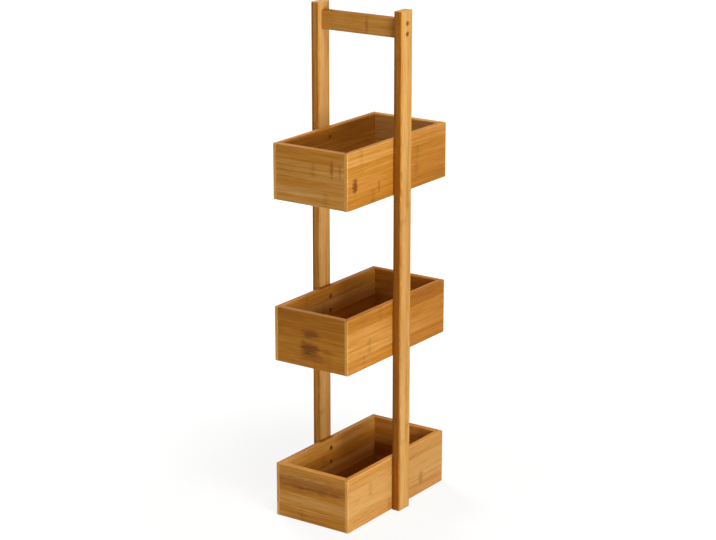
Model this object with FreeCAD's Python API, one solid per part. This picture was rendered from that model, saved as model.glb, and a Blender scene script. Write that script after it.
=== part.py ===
import FreeCAD, Part
import os

# Basket shelf in laminated bamboo: two posts, a top rail and three box baskets.
# X runs along the baskets, Y runs from the front post to the rear post and Z is up.
# The origin is on the floor, under the middle of the shelf. Sizes are in millimetres.

# Baskets, outside sizes
tier_names = ("lower", "middle", "upper")
basket_length = 270.0
basket_width = 138.0
basket_height = 88.0
board_thickness = 10.0
rim_chamfer = 1.0
lower_edge_chamfer = 0.6
corner_chamfer = 0.8

# Clear heights between a basket's rim and what is above it
tier_gap = 170.0
hand_gap = 154.0

# Posts and top rail, cut from one stock of strip
post_width = 30.0
post_thickness = 15.0
post_edge_radius = 3.0
rail_height = 30.0
rail_thickness = 15.0
rail_edge_radius = 3.0
rail_drop = 12.0

# Corner joints: each end board is glued into rebates in the long boards
rebate_depth = 4.0

# Bottom panels, let into grooves in the four boards
panel_thickness = 5.0
panel_height = 6.0
groove_depth = 4.0
panel_edge_play = 0.3
panel_face_play = 0.2

# Furniture screws with low cylindrical heads, in flat counterbores that can't wedge a thin board apart
screw_head_diameter = 8.0
screw_head_height = 2.5
screw_shank_diameter = 4.0
head_recess = 0.2
head_clearance = 0.1
shank_clearance = 0.25
pilot_clearance = 0.05
tip_clearance = 0.5
drill_overrun = 1.0

# Where the screws go
upper_screw_drop = 16.0
basket_screw_spacing = 24.0
basket_screw_cover = 5.0
rail_screw_spacing = 16.0
rail_screw_bite = 35.0

# Sizes that follow from those above
half_length = basket_length / 2
half_width = basket_width / 2
inner_half_length = half_length - board_thickness
inner_half_width = half_width - board_thickness
end_half_width = inner_half_width + rebate_depth
tier_pitch = basket_height + tier_gap
upper_rim_height = tier_pitch * (len(tier_names) - 1) + basket_height
rail_bottom = upper_rim_height + hand_gap
rail_top = rail_bottom + rail_height
post_height = rail_top + rail_drop
groove_height = panel_thickness + panel_face_play
basket_screw_bite = post_thickness - basket_screw_cover
basket_screw_through = board_thickness - head_recess
rail_screw_through = post_thickness - head_recess

X_AXIS = FreeCAD.Vector(1, 0, 0)
Y_AXIS = FreeCAD.Vector(0, 1, 0)
Z_AXIS = FreeCAD.Vector(0, 0, 1)
ORIGIN = FreeCAD.Vector(0, 0, 0)
FRONT = -1
REAR = 1
SIDES = (FRONT, REAR)
LEFT = -1
RIGHT = 1
SAME_PLACE = 0.001


def block(x_span, y_span, z_span):
    """Box between two values along each axis."""
    size = [high - low for low, high in (x_span, y_span, z_span)]
    corner = FreeCAD.Vector(x_span[0], y_span[0], z_span[0])
    return Part.makeBox(*size, corner)


def ordered(one, other):
    """Two values as a span, low value first."""
    return min(one, other), max(one, other)


def runs_along(start, end, axis):
    """True where the line between two points is parallel to an axis."""
    return (end - start).cross(axis).Length < SAME_PLACE


def edges_along(solid, axis):
    """Edges of a solid that are parallel to an axis."""
    return [edge for edge in solid.Edges
            if runs_along(edge.Vertexes[0].Point, edge.Vertexes[-1].Point, axis)]


def edges_at(solid, height):
    """Edges of a solid that lie all at one height."""
    return [edge for edge in solid.Edges
            if all(abs(vertex.Z - height) < SAME_PLACE for vertex in edge.Vertexes)]


def revolved(outline):
    """Solid of revolution about Z from (radius, height) points that start and end on the axis."""
    points = [FreeCAD.Vector(radius, 0, height) for radius, height in outline]
    profile = Part.makePolygon(points + points[:1])
    return Part.Face(profile).revolve(ORIGIN, Z_AXIS, 360)


def set_along_y(solid, x, y, z, direction):
    """Copy of a solid made along +Z, laid along +Y or -Y with its origin at a point."""
    placed = solid.copy()
    placed.rotate(ORIGIN, X_AXIS, -90 * direction)
    placed.translate(FreeCAD.Vector(x, y, z))
    return placed


# Screws, made along +Z with the top of the head at the origin

def screw(through, bite):
    """Screw through one piece into the next, its thread left plain."""
    head = screw_head_diameter / 2
    shank = screw_shank_diameter / 2
    tip = through + bite
    return revolved([(0, 0), (head, 0), (head, screw_head_height), (shank, screw_head_height),
                     (shank, tip), (0, tip)])


def clearance_hole(through):
    """Stepped drill for the piece that a screw goes through: counterbore for its head, then its shank."""
    head = screw_head_diameter / 2 + head_clearance
    shank = screw_shank_diameter / 2 + shank_clearance
    start = -drill_overrun
    end = through + drill_overrun
    return revolved([(0, start), (head, start), (head, screw_head_height), (shank, screw_head_height),
                     (shank, end), (0, end)])


def pilot_hole(through, bite):
    """Drill for the piece that a screw bites into."""
    start = through - drill_overrun
    end = through + bite + tip_clearance
    return Part.makeCylinder(screw_shank_diameter / 2 + pilot_clearance, end - start, Z_AXIS * start)


def at_basket_screws(shape, bottom, side):
    """Copies of a screw or its drill at one side's two places, heads inside the basket."""
    top = bottom + basket_height - upper_screw_drop
    head_face = side * (inner_half_width + head_recess)
    return [set_along_y(shape, 0, head_face, z, side) for z in (top, top - basket_screw_spacing)]


def at_rail_screws(shape, side):
    """Copies of a screw or its drill at one post's two places, heads on the post's outer face."""
    middle = rail_bottom + rail_height / 2
    head_face = side * (half_width + post_thickness - head_recess)
    heights = (middle + rail_screw_spacing / 2, middle - rail_screw_spacing / 2)
    return [set_along_y(shape, 0, head_face, z, -side) for z in heights]


def both_sides(place, *details):
    """What a placing function gives at the front and at the rear, as one list."""
    return [copy for side in SIDES for copy in place(*details, side)]


# Posts and rail

def tier_bottoms():
    """Name of each basket and height of its lower edge, from the floor up."""
    return [(name, tier_pitch * tier) for tier, name in enumerate(tier_names)]


def post(side):
    """Post outside one long side of the baskets, drilled for the basket screws and the rail screws."""
    strip = block((-post_width / 2, post_width / 2),
                  ordered(side * half_width, side * (half_width + post_thickness)),
                  (0, post_height))
    strip = strip.makeFillet(post_edge_radius, edges_along(strip, Z_AXIS))
    pilot = pilot_hole(basket_screw_through, basket_screw_bite)
    drills = at_rail_screws(clearance_hole(rail_screw_through), side)
    for _, bottom in tier_bottoms():
        drills += at_basket_screws(pilot, bottom, side)
    return strip.cut(drills)


def top_rail():
    """Rail between the posts' inner faces, its long edges rounded and its ends drilled."""
    strip = block((-rail_thickness / 2, rail_thickness / 2),
                  (-half_width, half_width),
                  (rail_bottom, rail_top))
    strip = strip.makeFillet(rail_edge_radius, edges_along(strip, Y_AXIS))
    return strip.cut(both_sides(at_rail_screws, pilot_hole(rail_screw_through, rail_screw_bite)))


# Baskets

def basket_walls(bottom):
    """The four walls as one ring, with the arrises taken off.

    The edges are worked round the glued-up basket, so the chamfers run on across the corner joints.
    """
    rim = bottom + basket_height
    outside = block((-half_length, half_length), (-half_width, half_width), (bottom, rim))
    outside = outside.makeChamfer(corner_chamfer, edges_along(outside, Z_AXIS))
    inside = block((-inner_half_length, inner_half_length),
                   (-inner_half_width, inner_half_width),
                   (bottom, rim))
    walls = outside.cut(inside)
    walls = walls.makeChamfer(rim_chamfer, edges_at(walls, rim))
    return walls.makeChamfer(lower_edge_chamfer, edges_at(walls, bottom))


def panel_groove(bottom):
    """Cutter for the groove all round, whose ends the corner joints hide."""
    low = bottom + panel_height
    return block((-inner_half_length - groove_depth, inner_half_length + groove_depth),
                 (-inner_half_width - groove_depth, inner_half_width + groove_depth),
                 (low, low + groove_height))


def bottom_panel(bottom):
    """Thin panel that lies on the lower walls of the grooves."""
    reach = groove_depth - panel_edge_play
    low = bottom + panel_height
    return block((-inner_half_length - reach, inner_half_length + reach),
                 (-inner_half_width - reach, inner_half_width + reach),
                 (low, low + panel_thickness))


def end_blank(bottom, end):
    """Block that one end board takes up, from rebate to rebate."""
    outer = end * half_length
    inner = end * inner_half_length
    return block(ordered(inner, outer), (-end_half_width, end_half_width), (bottom, bottom + basket_height))


def side_blank(bottom, side):
    """Block that one long board takes up, less the rebates for the two ends."""
    outer = side * half_width
    inner = side * inner_half_width
    board = block((-half_length, half_length), ordered(inner, outer), (bottom, bottom + basket_height))
    return board.cut([end_blank(bottom, LEFT), end_blank(bottom, RIGHT)])


def basket(bottom):
    """Pieces of one basket by name: four boards, the bottom panel and the screws into the posts."""
    drills = both_sides(at_basket_screws, clearance_hole(basket_screw_through), bottom)
    walls = basket_walls(bottom).cut(drills + [panel_groove(bottom)])
    screws = both_sides(at_basket_screws, screw(basket_screw_through, basket_screw_bite), bottom)
    return {
        "front_side": walls.common(side_blank(bottom, FRONT)),
        "rear_side": walls.common(side_blank(bottom, REAR)),
        "left_end": walls.common(end_blank(bottom, LEFT)),
        "right_end": walls.common(end_blank(bottom, RIGHT)),
        "bottom_panel": bottom_panel(bottom),
        "post_screws": Part.makeCompound(screws),
    }


def shelf():
    """Every piece of the shelf by its node's name."""
    rail_screws = both_sides(at_rail_screws, screw(rail_screw_through, rail_screw_bite))
    pieces = {
        "front_post": post(FRONT),
        "rear_post": post(REAR),
        "top_rail": top_rail(),
        "rail_screws": Part.makeCompound(rail_screws),
    }
    for tier, bottom in tier_bottoms():
        for name, shape in basket(bottom).items():
            pieces[f"{tier}_basket_{name}"] = shape
    return pieces


os.makedirs("parts", exist_ok=True)
for node, shape in shelf().items():
    shape.exportStep(f"parts/{node}.step")
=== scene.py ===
"""Looks of the basket shelf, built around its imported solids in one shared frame, in metres."""

import logging
import math
from dataclasses import dataclass
from enum import Enum
from typing import Any

import bmesh
import bpy
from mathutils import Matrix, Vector


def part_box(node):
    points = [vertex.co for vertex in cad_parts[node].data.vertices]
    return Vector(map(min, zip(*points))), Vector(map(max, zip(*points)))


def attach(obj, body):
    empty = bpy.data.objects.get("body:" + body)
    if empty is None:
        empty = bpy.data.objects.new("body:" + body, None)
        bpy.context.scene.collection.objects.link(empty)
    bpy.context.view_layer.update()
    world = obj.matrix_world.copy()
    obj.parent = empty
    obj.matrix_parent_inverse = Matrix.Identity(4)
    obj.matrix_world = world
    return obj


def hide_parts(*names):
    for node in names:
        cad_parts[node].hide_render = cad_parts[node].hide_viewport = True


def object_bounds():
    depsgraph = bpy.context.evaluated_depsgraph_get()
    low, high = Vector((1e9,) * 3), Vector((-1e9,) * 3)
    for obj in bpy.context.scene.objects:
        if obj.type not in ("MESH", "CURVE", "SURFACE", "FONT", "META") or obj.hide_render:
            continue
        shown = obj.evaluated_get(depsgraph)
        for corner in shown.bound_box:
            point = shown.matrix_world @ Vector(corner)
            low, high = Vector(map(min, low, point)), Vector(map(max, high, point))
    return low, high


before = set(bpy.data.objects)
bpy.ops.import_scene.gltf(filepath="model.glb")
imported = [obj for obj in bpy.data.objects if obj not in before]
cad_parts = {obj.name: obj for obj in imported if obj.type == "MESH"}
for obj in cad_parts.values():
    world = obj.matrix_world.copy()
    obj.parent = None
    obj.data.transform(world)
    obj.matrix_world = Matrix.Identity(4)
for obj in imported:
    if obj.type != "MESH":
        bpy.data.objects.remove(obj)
CAD_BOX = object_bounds()

LOG = logging.getLogger("basket_shelf")
MM = 0.001
BODY = "root"
PHOTO_WIDTH = 716
WHITE = (1.0, 1.0, 1.0, 1.0)

# Short names for Blender's types
Material = bpy.types.Material
Mesh = bpy.types.Mesh
Node = bpy.types.Node
Object = bpy.types.Object
Socket = bpy.types.NodeSocket
Tree = bpy.types.NodeTree

# Kinds of node that are used often
MATH = "ShaderNodeMath"
VECTOR_MATH = "ShaderNodeVectorMath"
MAP_RANGE = "ShaderNodeMapRange"
MIX = "ShaderNodeMix"


# Shared helpers

def linear(hex_colour: str) -> tuple[float, float, float, float]:
    """Turn an sRGB hex colour into linear light, by the curve of the sRGB standard.

    Args:
        hex_colour: Colour as "#RRGGBB".

    Returns:
        Linear red, green and blue, and an alpha of 1.
    """
    channels = [int(hex_colour[start:start + 2], 16) / 255 for start in (1, 3, 5)]
    red, green, blue = (c / 12.92 if c <= 0.04045 else ((c + 0.055) / 1.055) ** 2.4 for c in channels)
    return red, green, blue, 1.0


def add_node(tree: Tree, kind: str, inputs: dict[Any, Any] | None = None, **settings: Any) -> Node:
    """Add a node, apply its settings, and link or set its inputs.

    Inputs that share a name go by number. A Mix node takes its factor at 0, numbers at 2 and 3 and
    colours at 6 and 7, and gives a mixed colour at output 2. A Map Range node takes its value at 0, the
    span it comes from at 1 and 2, and the span it goes to at 3 and 4.

    Args:
        tree: Shader or geometry tree that the node joins.
        kind: Blender's type name of the node.
        inputs: Value, output socket or node for each input, by the input's name or number. A node stands
            for its first output.
        settings: Properties of the node itself.

    Returns:
        The new node.
    """
    node = tree.nodes.new(kind)
    for name, value in settings.items():
        setattr(node, name, value)
    for key, value in (inputs or {}).items():
        source = value.outputs[0] if isinstance(value, Node) else value
        if isinstance(source, Socket):
            tree.links.new(source, node.inputs[key])
        else:
            node.inputs[key].default_value = source
    return node


def new_material(name: str) -> Material:
    """Make a material whose node tree is still empty.

    Args:
        name: What the real material is.

    Returns:
        The new material.
    """
    material = bpy.data.materials.new(name)
    material.use_nodes = True
    material.node_tree.nodes.clear()
    return material


def new_object(name: str, mesh: Mesh) -> Object:
    """Put a mesh into the scene at the origin as a new object.

    Args:
        name: Name of the object.
        mesh: Its shape, with its place in it.

    Returns:
        The new object.
    """
    piece = bpy.data.objects.new(name, mesh)
    bpy.context.scene.collection.objects.link(piece)
    return piece


def bake_modifiers(piece: Object) -> None:
    """Replace an object's mesh by what its modifiers make of it, and remove them.

    Args:
        piece: Object with modifiers.
    """
    graph = bpy.context.evaluated_depsgraph_get()
    made = bpy.data.meshes.new_from_object(piece.evaluated_get(graph), depsgraph=graph)
    made.name = piece.name
    piece.modifiers.clear()
    piece.data = made


# Finishes

class StainAndShade(Enum):
    """Filters that a mark lays over the bamboo's own colour, so that the fibres show through: a brown for
    culm nodes and russet streaks that also lays painted shade, and an amber that lays painted shade only.
    """

    # Brown of culm nodes and russet streaks, also laid as painted shade
    NODE = "#866000"
    # Amber laid only as painted shade, over the right of the front boards
    PAINTED_SHADE_AMBER = "#D5B800"


@dataclass(frozen=True)
class MarkOrShade:
    """Darker place in the face of a board, an oval given in the object's frame, in millimetres.

    A culm node is short along the fibres and a russet streak is long; a place of painted shade can be long
    and broad.
    """

    centre: tuple[float, float, float]
    half: tuple[float, float, float]
    strength: float
    tint: StainAndShade = StainAndShade.NODE


@dataclass(frozen=True)
class Streak:
    """Noise drawn out along the fibres: its length and width in millimetres, and its octaves."""

    length: float
    width: float
    octaves: float


@dataclass(frozen=True)
class LaminatedBamboo:
    """Flat-pressed bamboo strips, carbonised to caramel, sanded and lacquered satin, in millimetres."""

    # To the eye: strips of slightly different tone with fine fibres along them, a short dark band where
    # a strip crosses a culm node, dotted end grain and a low sheen
    name: str
    strip_width: float
    # Culm nodes and russet streaks, and places of painted shade
    marks_and_shade: tuple[MarkOrShade, ...] = ()
    layer: float = 5.0

    # Colours of the faces, and how far strips, fibres and bands swing between them
    dark: str = "#A5640F"
    middle: str = "#CD8B2A"
    light: str = "#EBB86C"
    russet: str = "#F0D2B0"
    strip_contrast: float = 0.62
    fibre_contrast: float = 0.80
    band_contrast: float = 1.10

    # Fibres, drawn about twice as coarse as real ones so that they show, and the broader bands of a strip
    fibre: Streak = Streak(45.0, 0.9, 3.0)
    band: Streak = Streak(120.0, 4.5, 2.0)
    streak_roughness: float = 0.6
    strip_shift: float = 40.0

    # Fibre bundles that the planer cut open
    dash: Streak = Streak(24.0, 0.5, 1.0)
    dash_brown: str = "#87511A"
    dash_start: float = 0.58
    dash_full: float = 0.72
    dash_strength: float = 0.36

    # Culm nodes that fall where chance has them
    node_brown: str = "#5E340A"
    node_spacing: float = 360.0
    node_length: float = 9.0
    node_line: float = 1.6
    node_strength: float = 0.16
    node_line_strength: float = 0.30

    # Edges of each mark: the streaks that fray them, and their reach in shares of a mark's half size
    fray: Streak = Streak(14.0, 3.0, 2.0)
    fray_reach: float = 1.4
    mark_edge: float = 1.1
    mark_core: float = 0.35

    # Glue lines, drawn several times as wide as real ones so that they show
    glue_line: float = 0.5
    glue_strength: float = 0.36

    # Dots of the end grain: their spacing, their reach in shares of it, and how far the face shows through
    end_pale: str = "#CE9A50"
    end_dot: str = "#8A541C"
    bundle_spacing: float = 0.9
    dot_core: float = 0.15
    dot_edge: float = 0.5
    dot_strength: float = 0.75
    end_blend: float = 0.35

    # Lacquer
    smoothest: float = 0.55
    roughest: float = 0.70
    end_roughness: float = 0.75
    ior: float = 1.5
    specular: float = 0.15
    bump_depth: float = 0.05
    bump_strength: float = 0.35

    def build(self) -> Material:
        """Make the material.

        Returns:
            A material that reads the "grain", "end_grain" and "tone" attributes of a piece.
        """
        material = new_material(self.name)
        tree = material.node_tree
        grain = add_node(tree, "ShaderNodeAttribute", attribute_name="grain").outputs["Vector"]
        is_end = add_node(tree, "ShaderNodeAttribute", attribute_name="end_grain").outputs["Fac"]
        draw = self._strip_draw(tree, grain)
        chance = add_node(tree, "ShaderNodeSeparateXYZ", {0: draw})
        fibres = self._streaks(tree, grain, draw, self.fibre)
        bands = self._streaks(tree, grain, draw, self.band)
        colour = self._face_colour(tree, chance, fibres, bands)
        colour = self._with_dashes(tree, colour, self._streaks(tree, grain, draw, self.dash))
        colour = self._with_nodes(tree, colour, grain, chance, bands)
        if self.marks_and_shade:
            colour = self._with_marks_and_shade(tree, colour, self._streaks(tree, grain, draw, self.fray))
        colour = self._with_glue_lines(tree, colour, grain)
        colour = self._with_end_grain(tree, colour, grain, is_end)
        satin = add_node(tree, MAP_RANGE, {0: fibres, 3: self.smoothest, 4: self.roughest})
        roughness = add_node(tree, MIX, {0: is_end, 2: satin, 3: self.end_roughness})
        bump = add_node(tree, "ShaderNodeBump", {
            "Height": fibres, "Strength": self.bump_strength, "Distance": self.bump_depth * MM})
        shader = add_node(tree, "ShaderNodeBsdfPrincipled", {
            "Base Color": colour, "Roughness": roughness, "Normal": bump,
            "IOR": self.ior, "Specular IOR Level": self.specular})
        add_node(tree, "ShaderNodeOutputMaterial", {"Surface": shader})
        return material

    def _strip_draw(self, tree: Tree, grain: Socket) -> Socket:
        """Draw three chance values for each strip of each layer.

        Args:
            tree: The material's tree.
            grain: Place in the board as along, across and through.

        Returns:
            Socket with the three values.
        """
        per_cell = (0.0, 1 / self.strip_width, 1 / self.layer)
        cells = add_node(tree, VECTOR_MATH, {0: grain, 1: per_cell}, operation="MULTIPLY")
        cell = add_node(tree, VECTOR_MATH, {0: cells}, operation="FLOOR")
        noise = add_node(tree, "ShaderNodeTexWhiteNoise", {"Vector": cell}, noise_dimensions="3D")
        return noise.outputs["Color"]

    def _streaks(self, tree: Tree, grain: Socket, draw: Socket, streak: Streak) -> Socket:
        """Make noise that is drawn out along the fibres and starts afresh in each strip.

        Args:
            tree: The material's tree.
            grain: Place in the board.
            draw: Chance values of the strip.
            streak: Size of the streaks.

        Returns:
            Socket with values about one half.
        """
        per_streak = (1 / streak.length, 1 / streak.width, 1 / streak.width)
        drawn = add_node(tree, VECTOR_MATH, {0: grain, 1: per_streak}, operation="MULTIPLY")
        shift = add_node(tree, VECTOR_MATH, {0: draw, "Scale": self.strip_shift}, operation="SCALE")
        place = add_node(tree, VECTOR_MATH, {0: drawn, 1: shift})
        return add_node(tree, "ShaderNodeTexNoise", {
            "Vector": place, "Scale": 1.0, "Detail": streak.octaves,
            "Roughness": self.streak_roughness}).outputs[0]

    def _face_colour(self, tree: Tree, chance: Node, fibres: Socket, bands: Socket) -> Socket:
        """Colour the long faces from the strip's own tone, its bands and its fibres.

        Args:
            tree: The material's tree.
            chance: Node with the strip's three chance values.
            fibres: Fine streaks.
            bands: Broad streaks.

        Returns:
            Colour socket.
        """
        tone = add_node(tree, "ShaderNodeAttribute", attribute_name="tone").outputs["Fac"]
        for value, contrast in ((chance.outputs[0], self.strip_contrast), (fibres, self.fibre_contrast),
                                (bands, self.band_contrast)):
            swing = add_node(tree, MATH, {0: value, 1: contrast, 2: -contrast / 2},
                             operation="MULTIPLY_ADD")
            tone = add_node(tree, MATH, {0: tone, 1: swing}).outputs[0]
        ramp = add_node(tree, "ShaderNodeValToRGB", {0: tone})
        stops = ramp.color_ramp.elements
        stops[0].color = linear(self.dark)
        stops[1].color = linear(self.light)
        stops.new(0.5).color = linear(self.middle)
        redness = add_node(tree, MATH, {0: chance.outputs[2], 1: bands}, operation="MULTIPLY")
        return add_node(tree, MIX, {0: redness, 6: ramp, 7: linear(self.russet)},
                        data_type="RGBA", blend_type="MULTIPLY").outputs[2]

    def _with_dashes(self, tree: Tree, colour: Socket, dashes: Socket) -> Socket:
        """Draw the fibre bundles that the planer cut open, as thin dark dashes.

        Args:
            tree: The material's tree.
            colour: Colour so far.
            dashes: Narrow streaks.

        Returns:
            Colour socket.
        """
        mask = add_node(tree, MAP_RANGE, {
            0: dashes, 1: self.dash_start, 2: self.dash_full, 3: 0.0, 4: self.dash_strength})
        return add_node(tree, MIX, {0: mask, 6: colour, 7: linear(self.dash_brown)},
                        data_type="RGBA").outputs[2]

    def _with_nodes(self, tree: Tree, colour: Socket, grain: Socket, chance: Node, bands: Socket) -> Socket:
        """Darken a strip faintly where it happens to cross a culm node, with a thin line in the middle.

        Args:
            tree: The material's tree.
            colour: Colour so far.
            grain: Place in the board.
            chance: Node with the strip's three chance values.
            bands: Broad streaks, which fray the nodes.

        Returns:
            Colour socket.
        """
        along = add_node(tree, "ShaderNodeSeparateXYZ", {0: grain}).outputs[0]
        shifted = add_node(tree, MATH, {0: chance.outputs[1], 1: self.node_spacing, 2: along},
                           operation="MULTIPLY_ADD")
        near = add_node(tree, MATH, {0: shifted, 1: self.node_spacing / 2}, operation="PINGPONG")
        frayed = add_node(tree, MATH, {0: bands, 1: self.node_length, 2: near}, operation="MULTIPLY_ADD")
        middle = self.node_length / 2
        band = add_node(tree, MAP_RANGE, {
            0: frayed, 1: middle + self.node_length, 2: middle, 3: 0.0, 4: self.node_strength},
            interpolation_type="SMOOTHSTEP")
        line = add_node(tree, MAP_RANGE, {
            0: frayed, 1: middle + self.node_line, 2: middle, 3: 0.0, 4: self.node_line_strength},
            interpolation_type="SMOOTHSTEP")
        mask = add_node(tree, MATH, {0: band, 1: line}, operation="MAXIMUM")
        return add_node(tree, MIX, {0: mask, 6: colour, 7: linear(self.node_brown)},
                        data_type="RGBA").outputs[2]

    def _with_marks_and_shade(self, tree: Tree, colour: Socket, ragged: Socket) -> Socket:
        """Darken the places where a culm node or a russet streak stands out, and lay painted shade where
        less light falls or a highlight is toned down.

        Args:
            tree: The material's tree.
            colour: Colour so far.
            ragged: Short streaks, which fray the marks.

        Returns:
            Colour socket.
        """
        place = add_node(tree, "ShaderNodeTexCoord").outputs["Object"]
        for mark in self.marks_and_shade:
            mask = self._mark_or_shade_mask(tree, place, ragged, mark)
            colour = add_node(tree, MIX, {0: mask, 6: colour, 7: linear(mark.tint.value)},
                              data_type="RGBA", blend_type="MULTIPLY").outputs[2]
        return colour

    def _mark_or_shade_mask(self, tree: Tree, place: Socket, ragged: Socket, mark: MarkOrShade) -> Socket:
        """Mask one mark or place of painted shade, frayed along the fibres at its edges.

        Args:
            tree: The material's tree.
            place: Object coordinates in metres.
            ragged: Short streaks, which fray the mark.
            mark: Where the mark is, and how dark.

        Returns:
            Socket from 0 outside to about the mark's strength inside.
        """
        centre = tuple(value * MM for value in mark.centre)
        half = tuple(value * MM for value in mark.half)
        offset = add_node(tree, VECTOR_MATH, {0: place, 1: centre}, operation="SUBTRACT")
        share = add_node(tree, VECTOR_MATH, {0: offset, 1: half}, operation="DIVIDE")
        reach = add_node(tree, VECTOR_MATH, {0: share}, operation="LENGTH")
        frayed = add_node(tree, MATH, {0: ragged, 1: self.fray_reach, 2: reach.outputs["Value"]},
                          operation="MULTIPLY_ADD")
        usual = self.fray_reach / 2
        return add_node(tree, MAP_RANGE, {
            0: frayed, 1: usual + self.mark_edge, 2: usual + self.mark_core, 3: 0.0, 4: mark.strength},
            interpolation_type="SMOOTHSTEP").outputs[0]

    def _with_glue_lines(self, tree: Tree, colour: Socket, grain: Socket) -> Socket:
        """Darken the boundaries between strips and between layers.

        They show as glue lines, and as a film of darker stain on the broad faces, which are boundaries too.

        Args:
            tree: The material's tree.
            colour: Colour so far.
            grain: Place in the board.

        Returns:
            Colour socket.
        """
        axes = add_node(tree, "ShaderNodeSeparateXYZ", {0: grain}).outputs
        beside = add_node(tree, MATH, {0: axes[1], 1: self.strip_width / 2}, operation="PINGPONG")
        above = add_node(tree, MATH, {0: axes[2], 1: self.layer / 2}, operation="PINGPONG")
        nearest = add_node(tree, MATH, {0: beside, 1: above}, operation="MINIMUM")
        line = add_node(tree, MAP_RANGE, {
            0: nearest, 1: self.glue_line, 2: 0.0, 3: 0.0, 4: self.glue_strength})
        return add_node(tree, MIX, {0: line, 6: colour, 7: linear(self.node_brown)},
                        data_type="RGBA").outputs[2]

    def _with_end_grain(self, tree: Tree, colour: Socket, grain: Socket, is_end: Socket) -> Socket:
        """Show the cut ends of the fibre bundles as dots on pale ground.

        Args:
            tree: The material's tree.
            colour: Colour so far.
            grain: Place in the board.
            is_end: 1 on cut ends, 0 elsewhere.

        Returns:
            Colour socket.
        """
        per_bundle = (0.0, 1 / self.bundle_spacing, 1 / self.bundle_spacing)
        flat = add_node(tree, VECTOR_MATH, {0: grain, 1: per_bundle}, operation="MULTIPLY")
        bundles = add_node(tree, "ShaderNodeTexVoronoi", {"Vector": flat, "Scale": 1.0})
        dots = add_node(tree, MAP_RANGE, {
            0: bundles.outputs["Distance"], 1: self.dot_core, 2: self.dot_edge,
            3: self.dot_strength, 4: 0.0})
        ends = add_node(tree, MIX, {
            0: dots, 6: linear(self.end_pale), 7: linear(self.end_dot)}, data_type="RGBA")
        blended = add_node(tree, MIX, {0: self.end_blend, 6: ends.outputs[2], 7: colour}, data_type="RGBA")
        return add_node(tree, MIX, {0: is_end, 6: colour, 7: blended.outputs[2]},
                        data_type="RGBA").outputs[2]


@dataclass(frozen=True)
class BronzePlatedSteel:
    """Steel screws with antique bronze plating. Sizes are in millimetres."""

    # To the eye: brown metal, rubbed brighter in patches by the driver, its gloss broken by a fine grit
    name: str = "antique bronze plated steel"
    plated: str = "#A0642A"
    rubbed: str = "#C88C4A"
    patch: float = 1.5
    patch_octaves: float = 3.0
    grit: float = 0.25
    grit_octaves: float = 1.0
    worn_start: float = 0.5
    worn_full: float = 0.75
    worn_strength: float = 0.8
    smoothest: float = 0.30
    roughest: float = 0.55

    def build(self) -> Material:
        """Make the material from two scales of noise on Object coordinates.

        Returns:
            The new material.
        """
        material = new_material(self.name)
        tree = material.node_tree
        place = add_node(tree, "ShaderNodeTexCoord").outputs["Object"]
        patches = add_node(tree, "ShaderNodeTexNoise", {
            "Vector": place, "Scale": 1 / (self.patch * MM), "Detail": self.patch_octaves})
        grit = add_node(tree, "ShaderNodeTexNoise", {
            "Vector": place, "Scale": 1 / (self.grit * MM), "Detail": self.grit_octaves})
        worn = add_node(tree, MAP_RANGE, {
            0: patches, 1: self.worn_start, 2: self.worn_full, 3: 0.0, 4: self.worn_strength})
        colour = add_node(tree, MIX, {
            0: worn, 6: linear(self.plated), 7: linear(self.rubbed)}, data_type="RGBA")
        roughness = add_node(tree, MAP_RANGE, {0: grit, 3: self.smoothest, 4: self.roughest})
        shader = add_node(tree, "ShaderNodeBsdfPrincipled", {
            "Base Color": colour.outputs[2], "Metallic": 1.0, "Roughness": roughness})
        add_node(tree, "ShaderNodeOutputMaterial", {"Surface": shader})
        return material


@dataclass(frozen=True)
class FloorPaint:
    """Matt white paint of the studio floor. Sizes are in metres."""

    # To the eye: white, with the object's soft shadow left in it near by
    name: str = "matt white floor paint"
    colour: str = "#EDEDEB"
    near_glow: float = 0.80
    shadow_share: float = 0.23
    near: float = 0.3
    far: float = 1.5

    def build(self) -> Material:
        """Make the material: paint for the light that bounces, part glow for the rays that show it.

        Returns:
            The new material.
        """
        material = new_material(self.name)
        tree = material.node_tree
        paint = add_node(tree, "ShaderNodeBsdfDiffuse", {"Color": linear(self.colour)})
        place = add_node(tree, "ShaderNodeTexCoord").outputs["Object"]
        reach = add_node(tree, VECTOR_MATH, {0: place}, operation="LENGTH")
        strength = add_node(tree, MAP_RANGE, {
            0: reach.outputs["Value"], 1: self.near, 2: self.far, 3: self.near_glow, 4: 1.0})
        glow = add_node(tree, "ShaderNodeEmission", {"Color": WHITE, "Strength": strength})
        dim = add_node(tree, "ShaderNodeMixShader", {0: self.shadow_share, 2: paint})
        seen = add_node(tree, "ShaderNodeAddShader", {0: glow, 1: dim})
        surface = add_node(tree, "ShaderNodeMixShader", {0: showing_rays(tree), 1: paint, 2: seen})
        add_node(tree, "ShaderNodeOutputMaterial", {"Surface": surface})
        return material


def showing_rays(tree: Tree) -> Socket:
    """Find the rays that show a surface to the camera, straight, by reflection or through glass.

    Args:
        tree: Shader tree that needs the answer.

    Returns:
        Socket that is 1 for camera, glossy and transmission rays.
    """
    rays = add_node(tree, "ShaderNodeLightPath").outputs
    shows = rays["Is Camera Ray"]
    for other in ("Is Glossy Ray", "Is Transmission Ray"):
        shows = add_node(tree, MATH, {0: shows, 1: rays[other]}, operation="MAXIMUM").outputs[0]
    return shows


# Wood

@dataclass(frozen=True)
class Stock:
    """Board or strip that a piece is cut from: its number, tone, and how far its narrow faces darken.

    The number gives the chances of its strips, and is chosen for the strips that show.
    """

    serial: int
    tone: float
    edge_shade: float = 0.2


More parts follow.
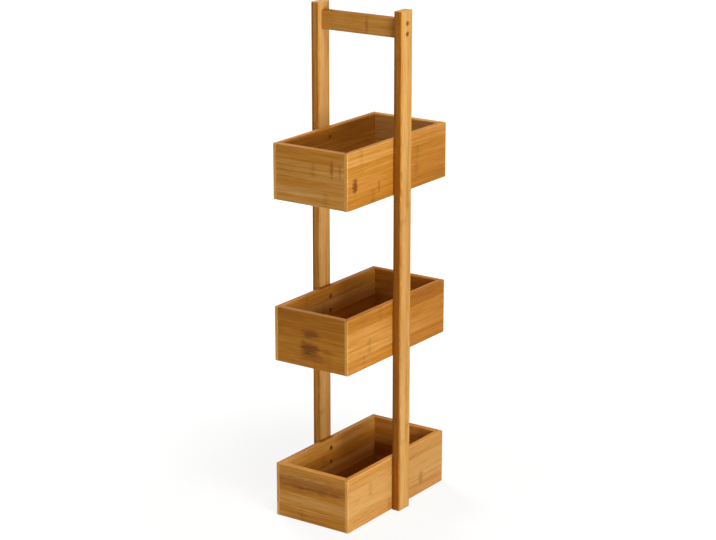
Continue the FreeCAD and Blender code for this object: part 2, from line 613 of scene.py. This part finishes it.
@dataclass
class Timber:
    """One piece of bamboo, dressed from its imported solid: arrises eased, grain laid along its length.

    Sizes are in millimetres.
    """

    node: str
    slot: str
    material: Material
    stock: Stock

    # Easing of the arrises, and how much paler it leaves them
    arris: float = 0.3
    arris_steps: int = 3
    arris_lift: float = 0.15

    # What counts as a long edge, the outer rim of a cut end, a crisp edge, one flat face and one point
    long_edge: float = 8.0
    rim_reach: float = 0.75
    crisp_angle: float = math.radians(30)
    flat_angle: float = math.radians(0.5)
    weld: float = 0.002

    # Least share of a face's normal along an axis on a cut end, on a flat face and where end grain shows
    cut_end: float = 0.99
    flat_face: float = 0.97
    end_grain: float = 0.8

    # Grain coordinates: how far apart boards lie, and a nudge and a scale that keep their faces off the
    # exact boundaries of strips and layers
    next_board: float = 100.0
    nudge: float = 0.05
    shrink: float = 0.996

    def build(self) -> Object:
        """Make the piece and hand it to the frame.

        Returns:
            The finished object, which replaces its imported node.
        """
        piece = new_object(f"{self.node}_bamboo", self._welded_mesh())
        bevel = piece.modifiers.new("eased arrises", "BEVEL")
        bevel.width = self.arris * MM
        bevel.segments = self.arris_steps
        bevel.limit_method = "WEIGHT"
        bevel.use_clamp_overlap = False
        bevel.loop_slide = False
        bake_modifiers(piece)
        self._remove_slivers(piece.data)
        piece.modifiers.new("flat faces", "WEIGHTED_NORMAL").keep_sharp = True
        bake_modifiers(piece)
        self._lay_grain(piece.data)
        piece.data.materials.clear()
        piece.data.materials.append(self.material)
        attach(piece, BODY)
        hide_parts(self.node)
        return piece

    def _axes(self) -> list[int]:
        """Numbers of the axes through the layers, across the strips and along the fibres."""
        low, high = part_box(self.node)
        return sorted(range(3), key=lambda axis: high[axis] - low[axis])

    def _welded_mesh(self) -> Mesh:
        """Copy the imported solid's triangles, welded, with flat neighbours joined and its edges weighted.

        Returns:
            Smooth-shaded mesh whose bevel weights say which edges are eased.
        """
        packed = bmesh.new()
        packed.from_mesh(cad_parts[self.node].data)
        bmesh.ops.remove_doubles(packed, verts=packed.verts, dist=self.weld * MM)
        bmesh.ops.dissolve_limit(packed, angle_limit=self.flat_angle, verts=packed.verts, edges=packed.edges)
        shape = bmesh.new()
        copies = {vertex: shape.verts.new(vertex.co) for vertex in packed.verts}
        for face in packed.faces:
            shape.faces.new([copies[vertex] for vertex in face.verts]).smooth = True
        packed.free()
        shape.normal_update()
        weight = shape.edges.layers.float.new("bevel_weight_edge")
        low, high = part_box(self.node)
        for edge in shape.edges:
            eased = self._is_arris(edge, (low + high) / 2, (high - low) / 2)
            edge[weight] = float(eased)
            edge.smooth = eased or edge.calc_face_angle() < self.crisp_angle
        mesh = bpy.data.meshes.new(self.node)
        shape.to_mesh(mesh)
        shape.free()
        return mesh

    def _is_arris(self, edge: bmesh.types.BMEdge, middle: Vector, half: Vector) -> bool:
        """Tell an edge that is eased from one that stays crisp, such as the rim of a drilled hole.

        Args:
            edge: Edge of the welded solid.
            middle: Middle of the solid's box.
            half: Half the size of that box.

        Returns:
            True for a long outer edge and for the outer rim of a cut end.
        """
        if not edge.is_convex or edge.calc_face_angle() < self.crisp_angle:
            return False
        if edge.calc_length() > self.long_edge * MM:
            return True
        along = max(range(3), key=lambda axis: half[axis])
        at_end = any(abs(face.normal[along]) > self.cut_end for face in edge.link_faces)
        place = (edge.verts[0].co + edge.verts[1].co) / 2 - middle
        reach = max(abs(place[axis]) / half[axis] for axis in range(3) if axis != along)
        return at_end and reach > self.rim_reach

    def _remove_slivers(self, mesh: Mesh) -> None:
        """Merge the points that the easing of two near edges brought together, and cut up many-sided faces.

        Args:
            mesh: The eased mesh, which is changed.
        """
        shape = bmesh.new()
        shape.from_mesh(mesh)
        bmesh.ops.remove_doubles(shape, verts=shape.verts, dist=self.weld * MM)
        bmesh.ops.dissolve_degenerate(shape, edges=shape.edges, dist=self.weld * MM)
        many_sided = [face for face in shape.faces if len(face.verts) > 4]
        bmesh.ops.triangulate(shape, faces=many_sided, ngon_method="BEAUTY")
        shape.to_mesh(mesh)
        shape.free()

    def _lay_grain(self, mesh: Mesh) -> None:
        """Store each point's place in the board, each face's tone, and which faces are cut ends.

        The longest side of the board runs along the fibres, and the shortest goes through the layers.
        Sanded arrises are paler, where less of the carbonised colour is left.

        Args:
            mesh: The finished mesh, which gets the attributes.
        """
        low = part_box(self.node)[0]
        through, across, along = self._axes()
        board = self.stock.serial * self.next_board
        mesh.attributes.new("grain", "FLOAT_VECTOR", "POINT")
        mesh.attributes.new("tone", "FLOAT", "FACE")
        mesh.attributes.new("end_grain", "FLOAT", "FACE")
        for vertex, place in zip(mesh.vertices, mesh.attributes["grain"].data):
            offset = (vertex.co - low) / MM
            place.vector = (offset[along],
                            offset[across] * self.shrink + self.nudge,
                            offset[through] * self.shrink + self.nudge + board)
        tones = mesh.attributes["tone"].data
        ends = mesh.attributes["end_grain"].data
        for face, tone, end in zip(mesh.polygons, tones, ends):
            is_arris = max(abs(part) for part in face.normal) < self.flat_face
            shade = self.stock.edge_shade * abs(face.normal[across])
            tone.value = self.stock.tone - shade + self.arris_lift * is_arris
            end.value = float(abs(face.normal[along]) > self.end_grain)


# Fasteners

@dataclass(frozen=True)
class ScrewSizes:
    """Sizes of one furniture screw, in millimetres."""

    head_diameter: float
    length: float
    head_height: float = 2.5
    socket_width: float = 3.0
    socket_depth: float = 1.7
    shank_diameter: float = 4.0
    core_diameter: float = 3.0
    thread_pitch: float = 1.8
    neck: float = 8.0
    edge_round: float = 0.25
    edge_steps: int = 2


class ScrewTree:
    """Geometry Nodes tree that sets a furniture screw at each point of a mesh, along its "drive" vector."""

    INPUTS = ("Head Diameter", "Head Height", "Socket Width", "Socket Depth", "Shank Diameter",
              "Core Diameter", "Thread Pitch", "Neck", "Length")
    HEAD_SEGMENTS = 48
    SOCKET_SIDES = 6
    SHANK_SEGMENTS = 16
    STEPS_PER_TURN = 5.0
    SEED = 7

    # Edges sharper than this are rounded, on the share of the head's height that is above its seat
    ROUNDED_ANGLE = math.radians(40)
    ABOVE_SEAT = 0.99

    def __init__(self) -> None:
        """Build the tree."""
        self.tree = bpy.data.node_groups.new("furniture screws", "GeometryNodeTree")
        interface = self.tree.interface
        interface.new_socket("Geometry", in_out="INPUT", socket_type="NodeSocketGeometry")
        self.identifiers = {
            name: interface.new_socket(name, in_out="INPUT", socket_type="NodeSocketFloat").identifier
            for name in self.INPUTS}
        self.identifiers["Material"] = interface.new_socket(
            "Material", in_out="INPUT", socket_type="NodeSocketMaterial").identifier
        interface.new_socket("Geometry", in_out="OUTPUT", socket_type="NodeSocketGeometry")
        self.given = add_node(self.tree, "NodeGroupInput").outputs
        self._finish(self._joined(self._head(), self._threaded(self._rod())))

    def _head(self) -> Socket:
        """Make the cylindrical head with its top at the origin, less a hexagonal socket.

        Returns:
            Mesh socket.
        """
        tree = self.tree
        given = self.given
        radius = add_node(tree, MATH, {0: given["Head Diameter"], 1: 2.0}, operation="DIVIDE")
        blank = add_node(tree, "GeometryNodeMeshCylinder", {
            "Vertices": self.HEAD_SEGMENTS, "Radius": radius, "Depth": given["Head Height"]})
        middle = add_node(tree, MATH, {0: given["Head Height"], 1: 2.0}, operation="DIVIDE")
        sink = add_node(tree, "ShaderNodeCombineXYZ", {2: middle})
        seated = add_node(tree, "GeometryNodeTransform", {"Geometry": blank, "Translation": sink})
        reach = add_node(tree, MATH, {0: given["Socket Depth"], 1: 2.0}, operation="MULTIPLY")
        corner = add_node(tree, MATH, {0: given["Socket Width"], 1: math.sqrt(3)}, operation="DIVIDE")
        key = add_node(tree, "GeometryNodeMeshCylinder", {
            "Vertices": self.SOCKET_SIDES, "Radius": corner, "Depth": reach})
        return add_node(tree, "GeometryNodeMeshBoolean", {
            0: seated, 1: key}, operation="DIFFERENCE", solver="EXACT").outputs[0]

    def _rod(self) -> Socket:
        """Make the plain rod of the shank, from inside the head down to the tip.

        Returns:
            Mesh socket.
        """
        tree = self.tree
        given = self.given
        twice = add_node(tree, MATH, {0: given["Socket Depth"], 1: given["Head Height"]})
        start = add_node(tree, MATH, {0: twice, 1: 2.0}, operation="DIVIDE")
        depth = add_node(tree, MATH, {0: given["Length"], 1: start}, operation="SUBTRACT")
        turns = add_node(tree, MATH, {0: depth, 1: given["Thread Pitch"]}, operation="DIVIDE")
        rings = add_node(tree, MATH, {0: turns, 1: self.STEPS_PER_TURN}, operation="MULTIPLY")
        steps = add_node(tree, MATH, {0: rings}, operation="CEIL")
        radius = add_node(tree, MATH, {0: given["Shank Diameter"], 1: 2.0}, operation="DIVIDE")
        rod = add_node(tree, "GeometryNodeMeshCylinder", {
            "Vertices": self.SHANK_SEGMENTS, "Side Segments": steps, "Radius": radius, "Depth": depth})
        half = add_node(tree, MATH, {0: depth, 1: 2.0}, operation="DIVIDE")
        middle = add_node(tree, MATH, {0: start, 1: half})
        sink = add_node(tree, "ShaderNodeCombineXYZ", {2: middle})
        return add_node(tree, "GeometryNodeTransform", {"Geometry": rod, "Translation": sink}).outputs[0]

    def _threaded(self, rod: Socket) -> Socket:
        """Draw a rod in between the turns of its thread, below a plain neck.

        Args:
            rod: Mesh socket of the plain rod.

        Returns:
            Mesh socket.
        """
        tree = self.tree
        given = self.given
        place = add_node(tree, "GeometryNodeInputPosition").outputs[0]
        axes = add_node(tree, "ShaderNodeSeparateXYZ", {0: place}).outputs
        angle = add_node(tree, MATH, {0: axes[1], 1: axes[0]}, operation="ARCTAN2")
        turn = add_node(tree, MATH, {0: angle, 1: math.tau}, operation="DIVIDE")
        rise = add_node(tree, MATH, {0: axes[2], 1: given["Thread Pitch"]}, operation="DIVIDE")
        phase = add_node(tree, MATH, {0: rise, 1: turn}, operation="SUBTRACT")
        swing = add_node(tree, MATH, {0: phase, 1: 0.5}, operation="PINGPONG")
        valley = add_node(tree, MATH, {0: swing, 1: 2.0}, operation="MULTIPLY")
        neck_end = add_node(tree, MATH, {0: given["Neck"], 1: given["Thread Pitch"]})
        below_neck = add_node(tree, MAP_RANGE, {0: axes[2], 1: given["Neck"], 2: neck_end})
        cut = add_node(tree, MATH, {0: valley, 1: below_neck}, operation="MULTIPLY")
        core = add_node(tree, MATH, {0: given["Core Diameter"], 1: given["Shank Diameter"]},
                        operation="DIVIDE")
        deepest = add_node(tree, MATH, {0: core, 1: 1.0}, operation="SUBTRACT")
        inward = add_node(tree, MATH, {0: cut, 1: deepest}, operation="MULTIPLY")
        flat = add_node(tree, VECTOR_MATH, {0: place, 1: (1.0, 1.0, 0.0)}, operation="MULTIPLY")
        offset = add_node(tree, VECTOR_MATH, {0: flat, "Scale": inward}, operation="SCALE")
        return add_node(tree, "GeometryNodeSetPosition", {"Geometry": rod, "Offset": offset}).outputs[0]

    def _joined(self, head: Socket, shank: Socket) -> Socket:
        """Make head and shank one closed shape, with the head's edges marked for rounding.

        Args:
            head: Mesh socket of the head.
            shank: Mesh socket of the threaded shank.

        Returns:
            Mesh socket.
        """
        tree = self.tree
        union = add_node(tree, "GeometryNodeMeshBoolean", {1: shank}, operation="UNION", solver="EXACT")
        tree.links.new(head, union.inputs[1])
        angle = add_node(tree, "GeometryNodeInputMeshEdgeAngle").outputs["Unsigned Angle"]
        is_edge = add_node(tree, MATH, {0: angle, 1: self.ROUNDED_ANGLE}, operation="GREATER_THAN")
        place = add_node(tree, "GeometryNodeInputPosition").outputs[0]
        height = add_node(tree, "ShaderNodeSeparateXYZ", {0: place}).outputs[2]
        seat = add_node(tree, MATH, {0: self.given["Head Height"], 1: self.ABOVE_SEAT},
                        operation="MULTIPLY")
        above = add_node(tree, MATH, {0: height, 1: seat}, operation="LESS_THAN")
        weight = add_node(tree, MATH, {0: is_edge, 1: above}, operation="MULTIPLY")
        return add_node(tree, "GeometryNodeStoreNamedAttribute", {
            "Geometry": union, "Name": "bevel_weight_edge", "Value": weight},
            data_type="FLOAT", domain="EDGE").outputs[0]

    def _finish(self, screw: Socket) -> None:
        """Set the screw at the points, each turned by chance about its axis, and give it its finish.

        Args:
            screw: Mesh socket of the whole screw.
        """
        tree = self.tree
        drive = add_node(tree, "GeometryNodeInputNamedAttribute", {"Name": "drive"},
                         data_type="FLOAT_VECTOR")
        aimed = add_node(tree, "FunctionNodeAlignRotationToVector", {"Vector": drive}, axis="Z")
        spin = add_node(tree, "FunctionNodeRandomValue", {2: 0.0, 3: math.tau, "Seed": self.SEED},
                        data_type="FLOAT")
        about = add_node(tree, "FunctionNodeAxisAngleToRotation", {
            "Axis": (0.0, 0.0, 1.0), "Angle": spin.outputs[1]})
        turned = add_node(tree, "FunctionNodeRotateRotation", {0: aimed, 1: about}, rotation_space="LOCAL")
        placed = add_node(tree, "GeometryNodeInstanceOnPoints", {
            "Points": self.given["Geometry"], "Instance": screw, "Rotation": turned})
        real = add_node(tree, "GeometryNodeRealizeInstances", {0: placed})
        dressed = add_node(tree, "GeometryNodeSetMaterial", {
            "Geometry": real, "Material": self.given["Material"]})
        add_node(tree, "NodeGroupOutput", {0: dressed})


class Drive(Enum):
    """Which way screws are driven, seen from the middle of the shelf."""

    OUTWARDS = 1
    INWARDS = -1


@dataclass
class ScrewSet:
    """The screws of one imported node, two at the front and two at the rear, one above the other.

    The faces of their heads lie at a distance from the middle, in metres.
    """

    node: str
    head_face: float
    drive: Drive
    sizes: ScrewSizes
    tree: ScrewTree
    material: Material

    def build(self) -> Object:
        """Make the screws as one piece and hand it to the frame.

        Returns:
            The finished object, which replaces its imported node.
        """
        low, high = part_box(self.node)
        radius = (high.x - low.x) / 2
        spots = [(side, height) for side in (-1, 1) for height in (high.z - radius, low.z + radius)]
        points = bpy.data.meshes.new(self.node)
        points.from_pydata([(0, side * self.head_face, height) for side, height in spots], [], [])
        drive = points.attributes.new("drive", "FLOAT_VECTOR", "POINT")
        for value, (side, _) in zip(drive.data, spots):
            value.vector = (0, side * self.drive.value, 0)
        piece = new_object(f"{self.node}_bronzed", points)
        nodes = piece.modifiers.new("screws", "NODES")
        nodes.node_group = self.tree.tree
        for name in ScrewTree.INPUTS:
            nodes[self.tree.identifiers[name]] = getattr(self.sizes, name.lower().replace(" ", "_")) * MM
        nodes[self.tree.identifiers["Material"]] = self.material
        bevel = piece.modifiers.new("rounded edges", "BEVEL")
        bevel.width = self.sizes.edge_round * MM
        bevel.segments = self.sizes.edge_steps
        bevel.limit_method = "WEIGHT"
        bevel.use_clamp_overlap = False
        bake_modifiers(piece)
        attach(piece, BODY)
        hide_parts(self.node)
        return piece


# Sub-assemblies

class Tier(Enum):
    """The three baskets, from the floor up."""

    LOWER = "lower"
    MIDDLE = "middle"
    UPPER = "upper"


@dataclass
class Basket:
    """One open box: four boards rebated at the corners, a bottom panel in grooves, and its screws."""

    tier: Tier
    board: Material
    panel: Material
    screw_tree: ScrewTree
    bronze: Material
    stock: dict[str, Stock]
    head_recess: float = 0.2
    panel_arris: float = 0.2

    BOARDS = ("front_side", "rear_side", "left_end", "right_end")

    def node(self, part: str) -> str:
        """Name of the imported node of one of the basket's parts."""
        return f"{self.tier.value}_basket_{part}"

    def build(self) -> list[Object]:
        """Make every piece of the basket.

        Returns:
            The finished objects.
        """
        pieces = [Timber(self.node(part), "bamboo_board", self.board, self.stock[part]).build()
                  for part in self.BOARDS]
        panel = Timber(self.node("bottom_panel"), "bamboo_panel", self.panel, self.stock["bottom_panel"],
                       arris=self.panel_arris)
        return pieces + [panel.build(), self._screws().build()]

    def _screws(self) -> ScrewSet:
        """Place two screws in each long side, heads just under its inner face, driven into the posts.

        Returns:
            The screws, still to be built.
        """
        screws = self.node("post_screws")
        low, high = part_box(screws)
        head_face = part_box(self.node("rear_side"))[0].y + self.head_recess * MM
        sizes = ScrewSizes(head_diameter=(high.x - low.x) / MM, length=(high.y - head_face) / MM)
        return ScrewSet(screws, head_face, Drive.OUTWARDS, sizes, self.screw_tree, self.bronze)


@dataclass
class PostFrame:
    """The two posts, the rail between them, and the screws that hold the rail."""

    strip: Material
    screw_tree: ScrewTree
    bronze: Material
    stock: dict[str, Stock]
    strip_arris: float = 0.6
    strip_arris_lift: float = 0.0

    # Rail screws reach through the post and 35 mm into the rail, with a plain neck below the head
    screw_length: float = 49.8
    screw_neck: float = 18.0

    STRIPS = ("front_post", "rear_post", "top_rail")

    def build(self) -> list[Object]:
        """Make every piece of the frame.

        Returns:
            The finished objects.
        """
        pieces = [Timber(part, "bamboo_strip", self.strip, self.stock[part], arris=self.strip_arris,
                         arris_lift=self.strip_arris_lift).build()
                  for part in self.STRIPS]
        return pieces + [self._screws().build()]

    def _screws(self) -> ScrewSet:
        """Place two screws through each post, driven inwards into the rail's ends.

        Returns:
            The screws, still to be built.
        """
        low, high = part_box("rail_screws")
        diameter = (high.x - low.x) / MM
        sizes = ScrewSizes(head_diameter=diameter, length=self.screw_length, neck=self.screw_neck)
        return ScrewSet("rail_screws", high.y, Drive.INWARDS, sizes, self.screw_tree, self.bronze)


# Studio

@dataclass(frozen=True)
class Softbox:
    """Rectangular studio light that the camera doesn't see, in metres and watts."""

    name: str
    place: tuple[float, float, float]
    width: float
    height: float
    power: float

    def build(self, aim: Vector) -> None:
        """Set the light up at its place.

        Args:
            aim: Point that it is turned to.
        """
        lamp = bpy.data.lights.new(self.name, "AREA")
        lamp.shape = "RECTANGLE"
        lamp.size = self.width
        lamp.size_y = self.height
        lamp.energy = self.power
        stand = bpy.data.objects.new(self.name, lamp)
        stand.location = self.place
        stand.rotation_euler = (aim - Vector(self.place)).to_track_quat("-Z", "Y").to_euler()
        stand.visible_camera = False
        bpy.context.scene.collection.objects.link(stand)


@dataclass
class Studio:
    """White floor, soft light and the photograph's camera.

    Lengths are in metres and angles in degrees, the focal length in the photograph's pixels, and the
    sensor and the shift of the camera's aim in millimetres.
    """

    floor_width: float = 40.0
    ambient: float = 0.18
    azimuth: float = -55.25
    elevation: float = 16.436
    distance: float = 3.4107
    focal_pixels: float = 2175.8
    sensor: float = 36.0
    shift_right: float = -4.908
    shift_up: float = -17.279
    softboxes: tuple[Softbox, ...] = (
        Softbox("key", (-0.62, -1.55, 0.52), 0.8, 0.55, 21.5),
        Softbox("top", (-0.6, -1.0, 2.6), 1.0, 1.0, 31.0),
        Softbox("back", (1.1, 2.1, 1.5), 1.2, 1.0, 52.0),
    )

    def build(self) -> None:
        """Set up the floor, the light and the camera around the middle of the object."""
        low, high = CAD_BOX
        middle = (low + high) / 2
        self._floor(low.z)
        self._world()
        for softbox in self.softboxes:
            softbox.build(middle)
        self._camera(middle)
        bpy.context.scene.view_settings.view_transform = "Standard"

    def _floor(self, height: float) -> None:
        """Lay the floor.

        Args:
            height: Where the object stands.
        """
        half = self.floor_width / 2
        mesh = bpy.data.meshes.new("floor")
        corners = [(x * half, y * half, height) for x, y in ((-1, -1), (1, -1), (1, 1), (-1, 1))]
        mesh.from_pydata(corners, [], [(0, 1, 2, 3)])
        mesh.materials.append(FloorPaint().build())
        new_object("floor", mesh)

    def _world(self) -> None:
        """Make the surroundings white to the eye and in reflections, and a low even light for the rest."""
        world = bpy.data.worlds.new("studio")
        world.use_nodes = True
        tree = world.node_tree
        tree.nodes.clear()
        strength = add_node(tree, MAP_RANGE, {0: showing_rays(tree), 3: self.ambient, 4: 1.0})
        glow = add_node(tree, "ShaderNodeBackground", {"Color": WHITE, "Strength": strength})
        add_node(tree, "ShaderNodeOutputWorld", {"Surface": glow})
        bpy.context.scene.world = world

    def _camera(self, middle: Vector) -> None:
        """Set the camera at the photograph's angle.

        Args:
            middle: Middle of the object, which the camera aims beside by its shift.
        """
        turn = math.radians(self.azimuth)
        tilt = math.radians(self.elevation)
        back = Vector((math.sin(turn) * math.cos(tilt), -math.cos(turn) * math.cos(tilt), math.sin(tilt)))
        right = Vector((math.cos(turn), math.sin(turn), 0))
        target = middle + right * self.shift_right * MM + Vector((0, 0, self.shift_up * MM))
        lens = bpy.data.cameras.new("camera")
        lens.sensor_width = self.sensor
        lens.lens = self.focal_pixels * self.sensor / PHOTO_WIDTH
        camera = bpy.data.objects.new("camera", lens)
        camera.location = target + back * self.distance
        camera.rotation_euler = (-back).to_track_quat("-Z", "Y").to_euler()
        bpy.context.scene.collection.objects.link(camera)
        bpy.context.scene.camera = camera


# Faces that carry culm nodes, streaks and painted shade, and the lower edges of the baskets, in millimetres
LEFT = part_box("lower_basket_left_end")[0].x / MM
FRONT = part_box("lower_basket_front_side")[0].y / MM
POST_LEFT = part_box("front_post")[0].x / MM
POST_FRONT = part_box("front_post")[0].y / MM
REAR_POST_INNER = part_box("rear_post")[0].y / MM
LOWER, MIDDLE, UPPER = (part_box(f"{tier.value}_basket_front_side")[0].z / MM for tier in Tier)

# Culm nodes and russet streaks that stand out on the boards, the posts and the rail, the front post's face
# darker towards its middle, and painted shade on the right of the front boards, low on the rear post and
# over the posts' rounded arrises
BOARD_MARKS_AND_SHADE = (
    MarkOrShade((-116, FRONT, UPPER + 35), (8, 4, 16), 0.90),
    MarkOrShade((-52, FRONT, UPPER + 24), (4, 4, 13), 0.40),
    MarkOrShade((LEFT, -40, UPPER + 61), (4, 4, 17), 0.50),
    MarkOrShade((LEFT, -55, UPPER + 59), (4, 3, 15), 0.35),
    MarkOrShade((LEFT, 0, MIDDLE + 54), (4, 22, 8), 0.65),
    MarkOrShade((LEFT, 2, MIDDLE + 31), (4, 22, 12), 0.80),
    MarkOrShade((LEFT, -30, MIDDLE + 31), (4, 12, 6), 0.35),
    MarkOrShade((LEFT, 0, MIDDLE + 17), (4, 34, 10), 0.45),
    MarkOrShade((70, FRONT, LOWER + 28), (8, 4, 15), 0.35),
    MarkOrShade((LEFT, 0, LOWER + 64), (4, 110, 14), 0.45),
    MarkOrShade((LEFT, -8, LOWER + 56), (4, 85, 5), 0.35),
    # Painted shade: the right of each front board darker, as the front post's shadow and the light falling
    # off towards the right make it
    MarkOrShade((85, FRONT, UPPER + 44), (110, 4, 150), 0.35, StainAndShade.PAINTED_SHADE_AMBER),
    MarkOrShade((85, FRONT, MIDDLE + 44), (110, 4, 150), 0.55, StainAndShade.PAINTED_SHADE_AMBER),
    MarkOrShade((85, FRONT, LOWER + 44), (110, 4, 150), 0.14),
)
STRIP_MARKS_AND_SHADE = (
    MarkOrShade((-8, -15, 773), (4, 4, 18), 0.40),
    # Front post's left face darker, where the edges of its strips show, and painted shade over its rounded
    # arris that tones down the highlight
    MarkOrShade((-16, -77, 300), (6, 20, 560), 0.36),
    # Front post's face darker towards its middle
    MarkOrShade((0, POST_FRONT, 380), (26, 4, 300), 0.18),
    # Painted shade: the rear post's face darker low down, where the baskets shade it
    MarkOrShade((0, REAR_POST_INNER, 150), (60, 6, 170), 0.24),
    # Painted shade along the rear post's rounded left arris, toning down its highlight
    MarkOrShade((POST_LEFT, REAR_POST_INNER, 430), (4, 4, 1200), 0.35),
)

# What each piece is cut from, the tone matched to the photograph
FRAME_STOCK = {
    "front_post": Stock(55, 0.86, 0.80),
    "rear_post": Stock(39, 0.90, 0.55),
    "top_rail": Stock(45, 0.52, 0.55),
}
# The bottom panels' very dark tone and the lower rear side's darker tone paint the shade inside the baskets
BASKET_STOCK = {
    Tier.LOWER: {
        "front_side": Stock(10, 0.80), "rear_side": Stock(11, 0.56), "left_end": Stock(12, 0.55),
        "right_end": Stock(13, 0.35), "bottom_panel": Stock(14, 0.10)},
    Tier.MIDDLE: {
        "front_side": Stock(20, 0.46), "rear_side": Stock(21, 0.56), "left_end": Stock(22, 0.26),
        "right_end": Stock(23, 0.50), "bottom_panel": Stock(24, 0.10)},
    Tier.UPPER: {
        "front_side": Stock(30, 0.54), "rear_side": Stock(31, 0.62), "left_end": Stock(32, 0.48),
        # The upper right end's pale tone is partly its own and partly painted light on its inner face
        "right_end": Stock(95, 0.82), "bottom_panel": Stock(34, 0.10)},
}


def main() -> None:
    """Build the shelf and its studio, and log how many faces each piece has."""
    logging.basicConfig(level=logging.INFO, format="%(name)s: %(message)s")
    board = LaminatedBamboo("laminated carbonised bamboo board", strip_width=22.0, marks_and_shade=BOARD_MARKS_AND_SHADE).build()
    panel = LaminatedBamboo("laminated carbonised bamboo panel", strip_width=21.0).build()
    strip = LaminatedBamboo("laminated carbonised bamboo strip", strip_width=15.0, marks_and_shade=STRIP_MARKS_AND_SHADE).build()
    bronze = BronzePlatedSteel().build()
    screws = ScrewTree()
    assemblies: list[Basket | PostFrame] = [PostFrame(strip, screws, bronze, FRAME_STOCK)]
    assemblies += [Basket(tier, board, panel, screws, bronze, BASKET_STOCK[tier]) for tier in Tier]
    for assembly in assemblies:
        for piece in assembly.build():
            LOG.info("%s: %d faces", piece.name, len(piece.data.polygons))
    Studio().build()


if __name__ == "__main__":
    main()
